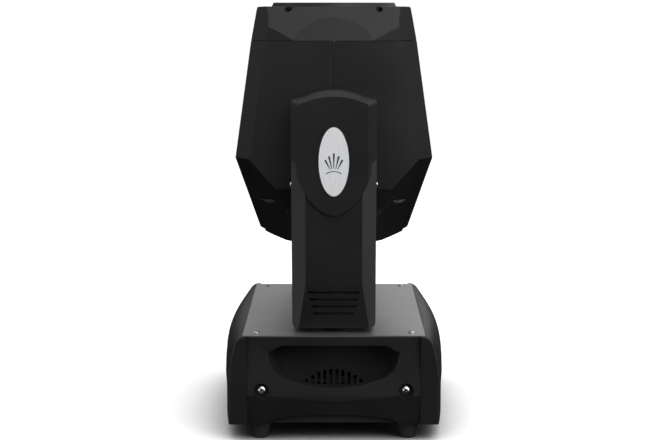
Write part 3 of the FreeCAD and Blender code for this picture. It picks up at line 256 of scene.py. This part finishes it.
def dress(obj, material):
    """Give a mesh one material."""
    obj.data.materials.clear()
    obj.data.materials.append(material)


for node_name, node_object in NODES.items():
    if node_name in NODE_SLOT:
        dress(node_object, SLOT_MATERIALS[NODE_SLOT[node_name]])


# ---- softened edges on the moulded covers -------------------------------------------------------

WELD_DISTANCE = 0.00001
FLAT_ANGLE = 0.6               # degrees: faces this close to one plane are joined
CREASE_ANGLE = 11              # degrees: sharper edges are rounded
CREASE_LENGTH = 8 * MM         # of a run of edges, for it to be rounded
RUNS_ON = -0.82                # cosine between two edges that count as one run
COVER_SHARP, PIECE_SHARP = 38, 35           # degrees, above which shading keeps an edge


def creases(bm, least_angle, least_chain):
    """The mesh's sharp edges, without those of short broken outlines."""
    sharp = [e for e in bm.edges if len(e.link_faces) == 2 and e.calc_face_angle(0.0) > least_angle]
    chosen = set(sharp)
    chain_of = {e: e for e in sharp}

    def root(e):
        while chain_of[e] is not e:
            e = chain_of[e]
        return e

    for v in bm.verts:
        around = [e for e in v.link_edges if e in chosen]
        for k, a in enumerate(around):
            for b in around[k + 1:]:
                way_a = (a.other_vert(v).co - v.co).normalized()
                way_b = (b.other_vert(v).co - v.co).normalized()
                if way_a.dot(way_b) < RUNS_ON:
                    chain_of[root(a)] = root(b)
    lengths = {}
    for e in sharp:
        lengths[root(e)] = lengths.get(root(e), 0.0) + e.calc_length()
    return [e for e in sharp if lengths[root(e)] >= least_chain]


def shade_smooth(bm, sharp_degrees):
    """Smooth shading, with open edges and those above the angle kept sharp."""
    for face in bm.faces:
        face.smooth = True
    limit = math.radians(sharp_degrees)
    for edge in bm.edges:
        edge.smooth = len(edge.link_faces) == 2 and edge.calc_face_angle(0.0) < limit


def softened(node, width):
    """A moulded cover with its CAD form and its creases rounded."""
    bm = bmesh.new()
    bm.from_mesh(NODES[node].data)
    bmesh.ops.remove_doubles(bm, verts=bm.verts, dist=WELD_DISTANCE)
    bmesh.ops.dissolve_limit(bm, angle_limit=math.radians(FLAT_ANGLE), verts=bm.verts,
                             edges=bm.edges)
    edges = creases(bm, math.radians(CREASE_ANGLE), CREASE_LENGTH)
    bmesh.ops.bevel(bm, geom=edges, offset=width, offset_type="OFFSET", segments=2, profile=0.5,
                    affect="EDGES", clamp_overlap=True, harden_normals=False)
    shade_smooth(bm, COVER_SHARP)
    mesh = bpy.data.meshes.new(node + "_soft")
    bm.to_mesh(mesh)
    bm.free()
    piece = bpy.data.objects.new(node + "_soft", mesh)
    bpy.context.scene.collection.objects.link(piece)
    normals = piece.modifiers.new("normals", "WEIGHTED_NORMAL")
    normals.keep_sharp = True
    normals.weight = 80
    dress(piece, SLOT_MATERIALS[NODE_SLOT[node]])
    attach(piece, BODY_OF[node])
    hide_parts(node)


# ---- small parts that the CAD leaves plain ------------------------------------------------------

def new_piece(name, forms, slot, body, material=None):
    """One piece made of closed forms, each a list of vertices and a list of faces."""
    vertices, faces = [], []
    for more_vertices, more_faces in forms:
        faces += [tuple(k + len(vertices) for k in face) for face in more_faces]
        vertices += more_vertices
    mesh = bpy.data.meshes.new(name)
    mesh.from_pydata(vertices, [], faces)
    piece = bpy.data.objects.new(name, mesh)
    bpy.context.scene.collection.objects.link(piece)
    bm = bmesh.new()
    bm.from_mesh(mesh)
    bmesh.ops.recalc_face_normals(bm, faces=bm.faces)
    shade_smooth(bm, PIECE_SHARP)
    bm.to_mesh(mesh)
    bm.free()
    dress(piece, material or SLOT_MATERIALS[slot])
    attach(piece, body)
    return piece


def band_faces(rings, count):
    """Four-sided faces between neighbouring rings of count vertices each."""
    faces = []
    for ring in range(rings - 1):
        for k in range(count):
            a, b = ring * count + k, ring * count + (k + 1) % count
            faces.append((a, b, b + count, a + count))
    return faces


def closed_faces(rings, count):
    """The same faces, with one over the first ring and one over the last."""
    last = (rings - 1) * count
    return [*band_faces(rings, count), tuple(range(count)), tuple(range(last, last + count))]


def raised(profile, outline, to_space):
    """A closed form: the outline once per row of the profile, drawn in and lifted by that row."""
    vertices = [to_space(u, v, height) for inset, height in profile for u, v in outline(inset)]
    return vertices, closed_faces(len(profile), len(outline(0.0)))


def oval(half_u, half_v):
    """An ellipse that draws in by the same width all round."""
    count = 96

    def outline(inset):
        turns = [2 * math.pi * k / count for k in range(count)]
        return [((half_u - inset) * math.cos(t), (half_v - inset) * math.sin(t)) for t in turns]
    return outline


def polygon(points):
    """A polygon whose corners draw in towards its centre."""
    def outline(inset):
        centre = sum((Vector(p) for p in points), Vector((0, 0))) / len(points)
        return [tuple(Vector(p) + (centre - Vector(p)).normalized() * inset) for p in points]
    return outline


def in_metres(rows):
    """A profile's rows of (drawn in, raised), from millimetres."""
    return [(inset * MM, height * MM) for inset, height in rows]


def badge_paint():
    """Dark slate enamel, with the slightest mottling."""
    t = Tree("badge_paint_looks")
    slow = t.noise(220.0, 3.0)
    base = t.mix(slow, (0.010, 0.022, 0.048, 1), (0.016, 0.034, 0.070, 1))
    return t.set(Base_Color=base, Roughness=t.remap(slow, 0.3, 0.7, 0.28, 0.4),
                 Normal=t.bump(t.noise(900.0), 0.3, 0.00002))


def badge_face():
    """Satin silver print under lacquer: almost white, with fine upright brushing."""
    t = Tree("badge_face_looks")
    lines = t.noise(1500.0, 3.0, 0.6, (1.0, 1.0, 0.06))
    slow = t.noise(45.0, 3.0)
    base = t.mix(t.remap(lines, 0.3, 0.7, 0.0, 1.0), (0.86, 0.87, 0.89, 1), (0.97, 0.97, 0.98, 1))
    return t.set(Base_Color=base, Roughness=t.remap(slow, 0.3, 0.7, 0.3, 0.42),
                 Normal=t.bump(lines, 0.4, 0.00001))


BADGE_THICK = 1.4 * MM
FAN_ROOT = -17 * MM            # where the beams meet, below the badge's middle
BADGE_DOME = in_metres([(0.9, 0.3), (0.9, 1.15), (1.2, 1.22), (4.0, 1.31), (9.0, 1.39),
                        (14.0, 1.43), (18.6, 1.45)])
BADGE_RIM = in_metres([(0.0, 0.0), (0.0, 1.0), (0.25, 1.3), (0.75, 1.35), (1.0, 1.2), (1.0, 0.2)])
BEAM_RELIEF = in_metres([(0.0, 1.3), (0.0, 1.5), (0.1, 1.53)])
BOW_RELIEF = in_metres([(0.0, 1.2), (0.0, 1.5), (0.05, 1.53)])


def fan_of_beams(to_space):
    """Five tapered beams that spread from one point, over a shallow bow."""
    forms = []
    root = Vector((0, FAN_ROOT))
    near_half, far_half = 0.35 * MM, 1.1 * MM
    for k in range(-2, 3):
        lean = math.radians(14 * k)
        near, far = 9 * MM, (27 - 2.5 * abs(k)) * MM
        way = Vector((math.sin(lean), math.cos(lean)))
        across = Vector((way.y, -way.x))
        beam = [root + way * near - across * near_half, root + way * near + across * near_half,
                root + way * far + across * far_half, root + way * far - across * far_half]
        forms.append(raised(BEAM_RELIEF, polygon(beam), to_space))
    bow = []
    bow_x, bow_z = 11 * MM, 6.2 * MM
    for grow, turns in ((1.0, range(-60, 61, 10)), (0.86, range(60, -61, -10))):
        for t in map(math.radians, turns):
            bow.append((bow_x * math.sin(t) * grow, FAN_ROOT + bow_z * math.cos(t) * grow))
    forms.append(raised(BOW_RELIEF, polygon(bow), to_space))
    return forms


def badges():
    """An oval badge on each arm: a slate rim, a domed silver face and a plain fan of beams."""
    low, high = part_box("badges")
    half_z, middle = (high[2] - low[2]) / 2, (high[2] + low[2]) / 2
    outline = oval(high[0], half_z)
    paint, silver = badge_paint(), badge_face()
    for side, sign in (("left", -1), ("right", 1)):
        def on_arm(u, v, height):
            return (-sign * u, sign * (high[1] - BADGE_THICK + height), middle + v)

        def piece(name, forms, material):
            return new_piece(f"badge_{name}_{side}", forms, "badge_silver", "yoke", material)

        plate = piece("face", [raised(BADGE_DOME, outline, on_arm)], silver)
        edge = piece("rim", [raised(BADGE_RIM, outline, on_arm)], paint)
        piece("beams", fan_of_beams(on_arm), paint)
        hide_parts("badges")
        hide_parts("badges")


def legend_ink():
    """White paint for the raised marks, faintly uneven."""
    t = Tree("legend_looks")
    fine = t.noise(1200.0, 3.0)
    return t.set(Base_Color=t.mix(fine, grey(0.62), grey(0.78)), Roughness=0.5,
                 Normal=t.bump(fine, 0.3, 0.00001))


def bar(v, half):
    """A thin level bar at height v."""
    thin = 0.13
    return [(-half, v - thin), (half, v - thin), (half, v + thin), (-half, v + thin)]


LEGEND_HALF = 1.9 * MM
LEGEND_RELIEF = in_metres([(0.0, -0.2), (0.0, 0.08), (0.05, 0.12)])
KEY_MARKS = {
    "key_up": [[(-0.9, -0.6), (0.9, -0.6), (0, 0.9)]],
    "key_down": [[(-0.9, 0.6), (0, -0.9), (0.9, 0.6)]],
    "key_menu": [bar(v, 0.85) for v in (-0.65, 0.0, 0.65)],
    "key_enter": [[(-0.95, 0.0), (-0.25, -0.65), (-0.25, 0.65)], bar(0.0, 0.9),
                  [(0.65, 0.0), (0.9, 0.0), (0.9, 0.8), (0.65, 0.8)]],
}


def key_legends():
    """Raised marks on the panel keys: arrows, a list and a return arrow."""
    ink = legend_ink()
    for node, marks in KEY_MARKS.items():
        low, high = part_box(node)
        y, z = (low[1] + high[1]) / 2, (low[2] + high[2]) / 2

        def on_key(u, v, height):
            return (high[0] + height, y + u, z + v)

        forms = []
        for mark in marks:
            corners = [(u * LEGEND_HALF, v * LEGEND_HALF) for u, v in mark]
            forms.append(raised(LEGEND_RELIEF, polygon(corners), on_key))
        new_piece(node + "_legend", forms, "key_plastic", BODY_OF[node], ink)


# Rows of (height, reach), as shares of the head's radius, and whether the row is in the recess.
SCREW_ROWS = ((0.0, 1.0, False), (0.35, 1.0, False), (0.62, 0.82, False), (0.75, 0.55, True),
              (0.45, 0.42, True), (0.42, 0.12, True))
CROSS_WIDTH, CROSS_WAIST = 0.45, 0.42       # how wide its arms are, and how far in it goes between


def small_screw(x, y, z, radius):
    """A domed screw head that faces -X, with a cross recess as part of its form."""
    steps = 32
    vertices = []
    for height, grow, recessed in SCREW_ROWS:
        for k in range(steps):
            turn = 2 * math.pi * k / steps
            in_arm = abs(math.sin(2 * turn)) < CROSS_WIDTH
            reach = grow * CROSS_WAIST if recessed and not in_arm else grow
            vertices.append((x - height * radius, y + reach * radius * math.cos(turn),
                             z + reach * radius * math.sin(turn)))
    return vertices, closed_faces(len(SCREW_ROWS), steps)


def panel_screws():
    """Screws through the flanges of the sockets and the power inlet, and round the panel."""
    screws = []
    low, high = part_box("data_sockets")
    middle = (low[2] + high[2]) / 2
    flange_half, hole_y, hole_z = 13 * MM, 9.6 * MM, 12.0 * MM
    for centre in (low[1] + flange_half, high[1] - flange_half):
        for sign in (1, -1):
            y, z = centre + sign * hole_y, middle - sign * hole_z
            screws.append(small_screw(low[0], y, z, 2.0 * MM))
    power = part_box("power_inlet")[0]
    inlet_face, inlet_half, inlet_hole = -125.0 * MM, 14 * MM, 11.2 * MM
    for sign in (1, -1):
        y, z = power[1] + inlet_half + sign * inlet_hole, middle + sign * inlet_hole
        screws.append(small_screw(inlet_face, y, z, 1.8 * MM))
    plate_low, plate_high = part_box("connector_plate")
    in_y, in_z = 5 * MM, 6 * MM
    for y in (plate_low[1] + in_y, plate_high[1] - in_y):
        for z in (plate_low[2] + in_z, plate_high[2] - in_z):
            screws.append(small_screw(plate_low[0], y, z, 2.2 * MM))
    new_piece("panel_screws", screws, "dark_screws", "base")


# ---- studio -------------------------------------------------------------------------------------

FLOOR_SHADE_REACH = 0.16       # how near the object has to be to darken the floor


def floor_material():
    """A matt pale floor with a faint glow and a painted contact shadow: its colour and glow are
    darker where the object is close above it.
    """
    t = Tree("floor_looks")
    near = t.node("ShaderNodeAmbientOcclusion", samples=8)
    near.inputs["Distance"].default_value = FLOOR_SHADE_REACH
    open_sky = near.outputs["AO"]
    base = t.mix(t.noise(3.0, 4.0), (0.95, 0.95, 0.95, 1), (0.98, 0.98, 0.98, 1))
    # Painted contact shadow: the floor's colour goes near black where the object is close above it,
    # and the glow below fades there too.
    base = t.mix(t.remap(open_sky, 0.15, 0.75, 0.0, 1.0), (0.06, 0.06, 0.06, 1), base)
    return t.set(Base_Color=base, Roughness=0.9, Normal=t.bump(t.noise(90.0), 0.1, 0.0005),
                 Emission_Color=(1.0, 1.0, 1.0, 1.0),
                 Emission_Strength=t.remap(open_sky, 0.4, 0.95, 0.0, 0.34))


# Rings of (radius, height): flat near the object, then rising to meet the horizon.
FLOOR_RINGS = ((40.0, 0.0), (100.0, 1.0), (180.0, 7.0), (300.0, 34.0))
FLOOR_SIDES = 64


def stage_floor():
    """The floor takes light and shade, and throws none back at the object."""
    mesh = bpy.data.meshes.new("floor")
    turns = [2 * math.pi * k / FLOOR_SIDES for k in range(FLOOR_SIDES)]
    vertices = [(reach * math.cos(t), reach * math.sin(t), z)
                for reach, z in FLOOR_RINGS for t in turns]
    faces = [tuple(range(FLOOR_SIDES)), *band_faces(len(FLOOR_RINGS), FLOOR_SIDES)]
    mesh.from_pydata(vertices, [], faces)
    floor = bpy.data.objects.new("floor", mesh)
    bpy.context.scene.collection.objects.link(floor)
    mesh.materials.append(floor_material())
    floor.visible_diffuse = False
    floor.visible_glossy = False
    floor.visible_shadow = False


def room():
    """A dim room, brighter behind the object and above the floor."""
    world = bpy.data.worlds.new("studio")
    bpy.context.scene.world = world
    world.use_nodes = True
    nodes, links = world.node_tree.nodes, world.node_tree.links
    background = nodes["Background"]
    split = nodes.new("ShaderNodeSeparateXYZ")
    links.new(nodes.new("ShaderNodeTexCoord").outputs["Generated"], split.inputs[0])

    def ramp(axis, low, high, to_low, to_high):
        made = nodes.new("ShaderNodeMapRange")
        set_range(made, low, high, to_low, to_high)
        links.new(split.outputs[axis], made.inputs["Value"])
        return made.outputs["Result"]

    product = nodes.new("ShaderNodeMath")
    product.operation = "MULTIPLY"
    links.new(ramp("Y", 0.0, 0.8, 0.06, 1.0), product.inputs[0])
    links.new(ramp("Z", -0.25, -0.02, 0.06, 1.0), product.inputs[1])
    links.new(product.outputs[0], background.inputs["Strength"])


# Name, kind, place, point aimed at, power, and the sun's angle in degrees or the square's side.
LIGHTS = (
    ("ceiling", "SUN", (0.35, 0.5, 3.0), (0.0, 0.0, 0.0), 2.3, 125),
    ("key", "AREA", (0.8, -1.8, 1.9), (0.0, 0.0, 0.35), 23.0, 1.6),
    ("right_front", "AREA", (1.7, -1.4, 0.8), (0.0, 0.0, 0.3), 9.0, 1.0),
    ("low_fill", "AREA", (-0.7, -2.2, 0.9), (0.0, 0.0, 0.25), 3.0, 1.0),
    ("left_card", "AREA", (-1.3, -0.9, 0.03), (0.0, 0.0, 0.4), 3.5, 0.8),
    ("right_card", "AREA", (1.3, -0.9, 0.03), (0.0, 0.0, 0.4), 2.4, 0.8),
    ("back", "AREA", (0.9, 2.2, 1.7), (0.0, 0.0, 0.35), 7.0, 1.4),
    ("left_wing", "AREA", (-2.0, 0.1, 0.9), (0.0, 0.0, 0.3), 3.2, 1.2),
    ("right_wing", "AREA", (2.0, 0.1, 0.9), (0.0, 0.0, 0.3), 1.8, 1.2),
)


def lights():
    """A wide soft ceiling and eight square lights. The camera sees none of them."""
    for name, kind, place, aim, power, extent in LIGHTS:
        data = bpy.data.lights.new(name, kind)
        data.energy = power
        if kind == "SUN":
            data.angle = math.radians(extent)
        else:
            data.shape = "SQUARE"
            data.size = extent
        obj = bpy.data.objects.new(name, data)
        obj.location = place
        obj.rotation_euler = (Vector(aim) - Vector(place)).to_track_quat("-Z", "Y").to_euler()
        obj.visible_camera = False
        bpy.context.scene.collection.objects.link(obj)


def camera():
    """The view square on to one yoke arm, from a little above."""
    data = bpy.data.cameras.new("camera")
    data.lens = CAMERA_LENS
    data.sensor_width = CAMERA_SENSOR
    obj = bpy.data.objects.new("camera", data)
    obj.location = CAMERA_PLACE
    obj.rotation_euler = (math.radians(90 - CAMERA_PITCH), 0.0, 0.0)
    bpy.context.scene.collection.objects.link(obj)
    bpy.context.scene.camera = obj


bpy.context.scene.view_settings.view_transform = "Standard"
stage_floor()
room()
lights()
camera()
for cover in ("side_cover_left", "side_cover_right", "display_end_cap", "connector_end_cap",
              "arm_cover_left", "arm_cover_right", "head_cover_front", "head_cover_rear",
              "front_cap"):
    softened(cover, COVER_CREASE)
for trim in ("bridge_cover", "arm_liner_left", "arm_liner_right", "display_bezel"):
    softened(trim, TRIM_CREASE)
badges()
key_legends()
panel_screws()
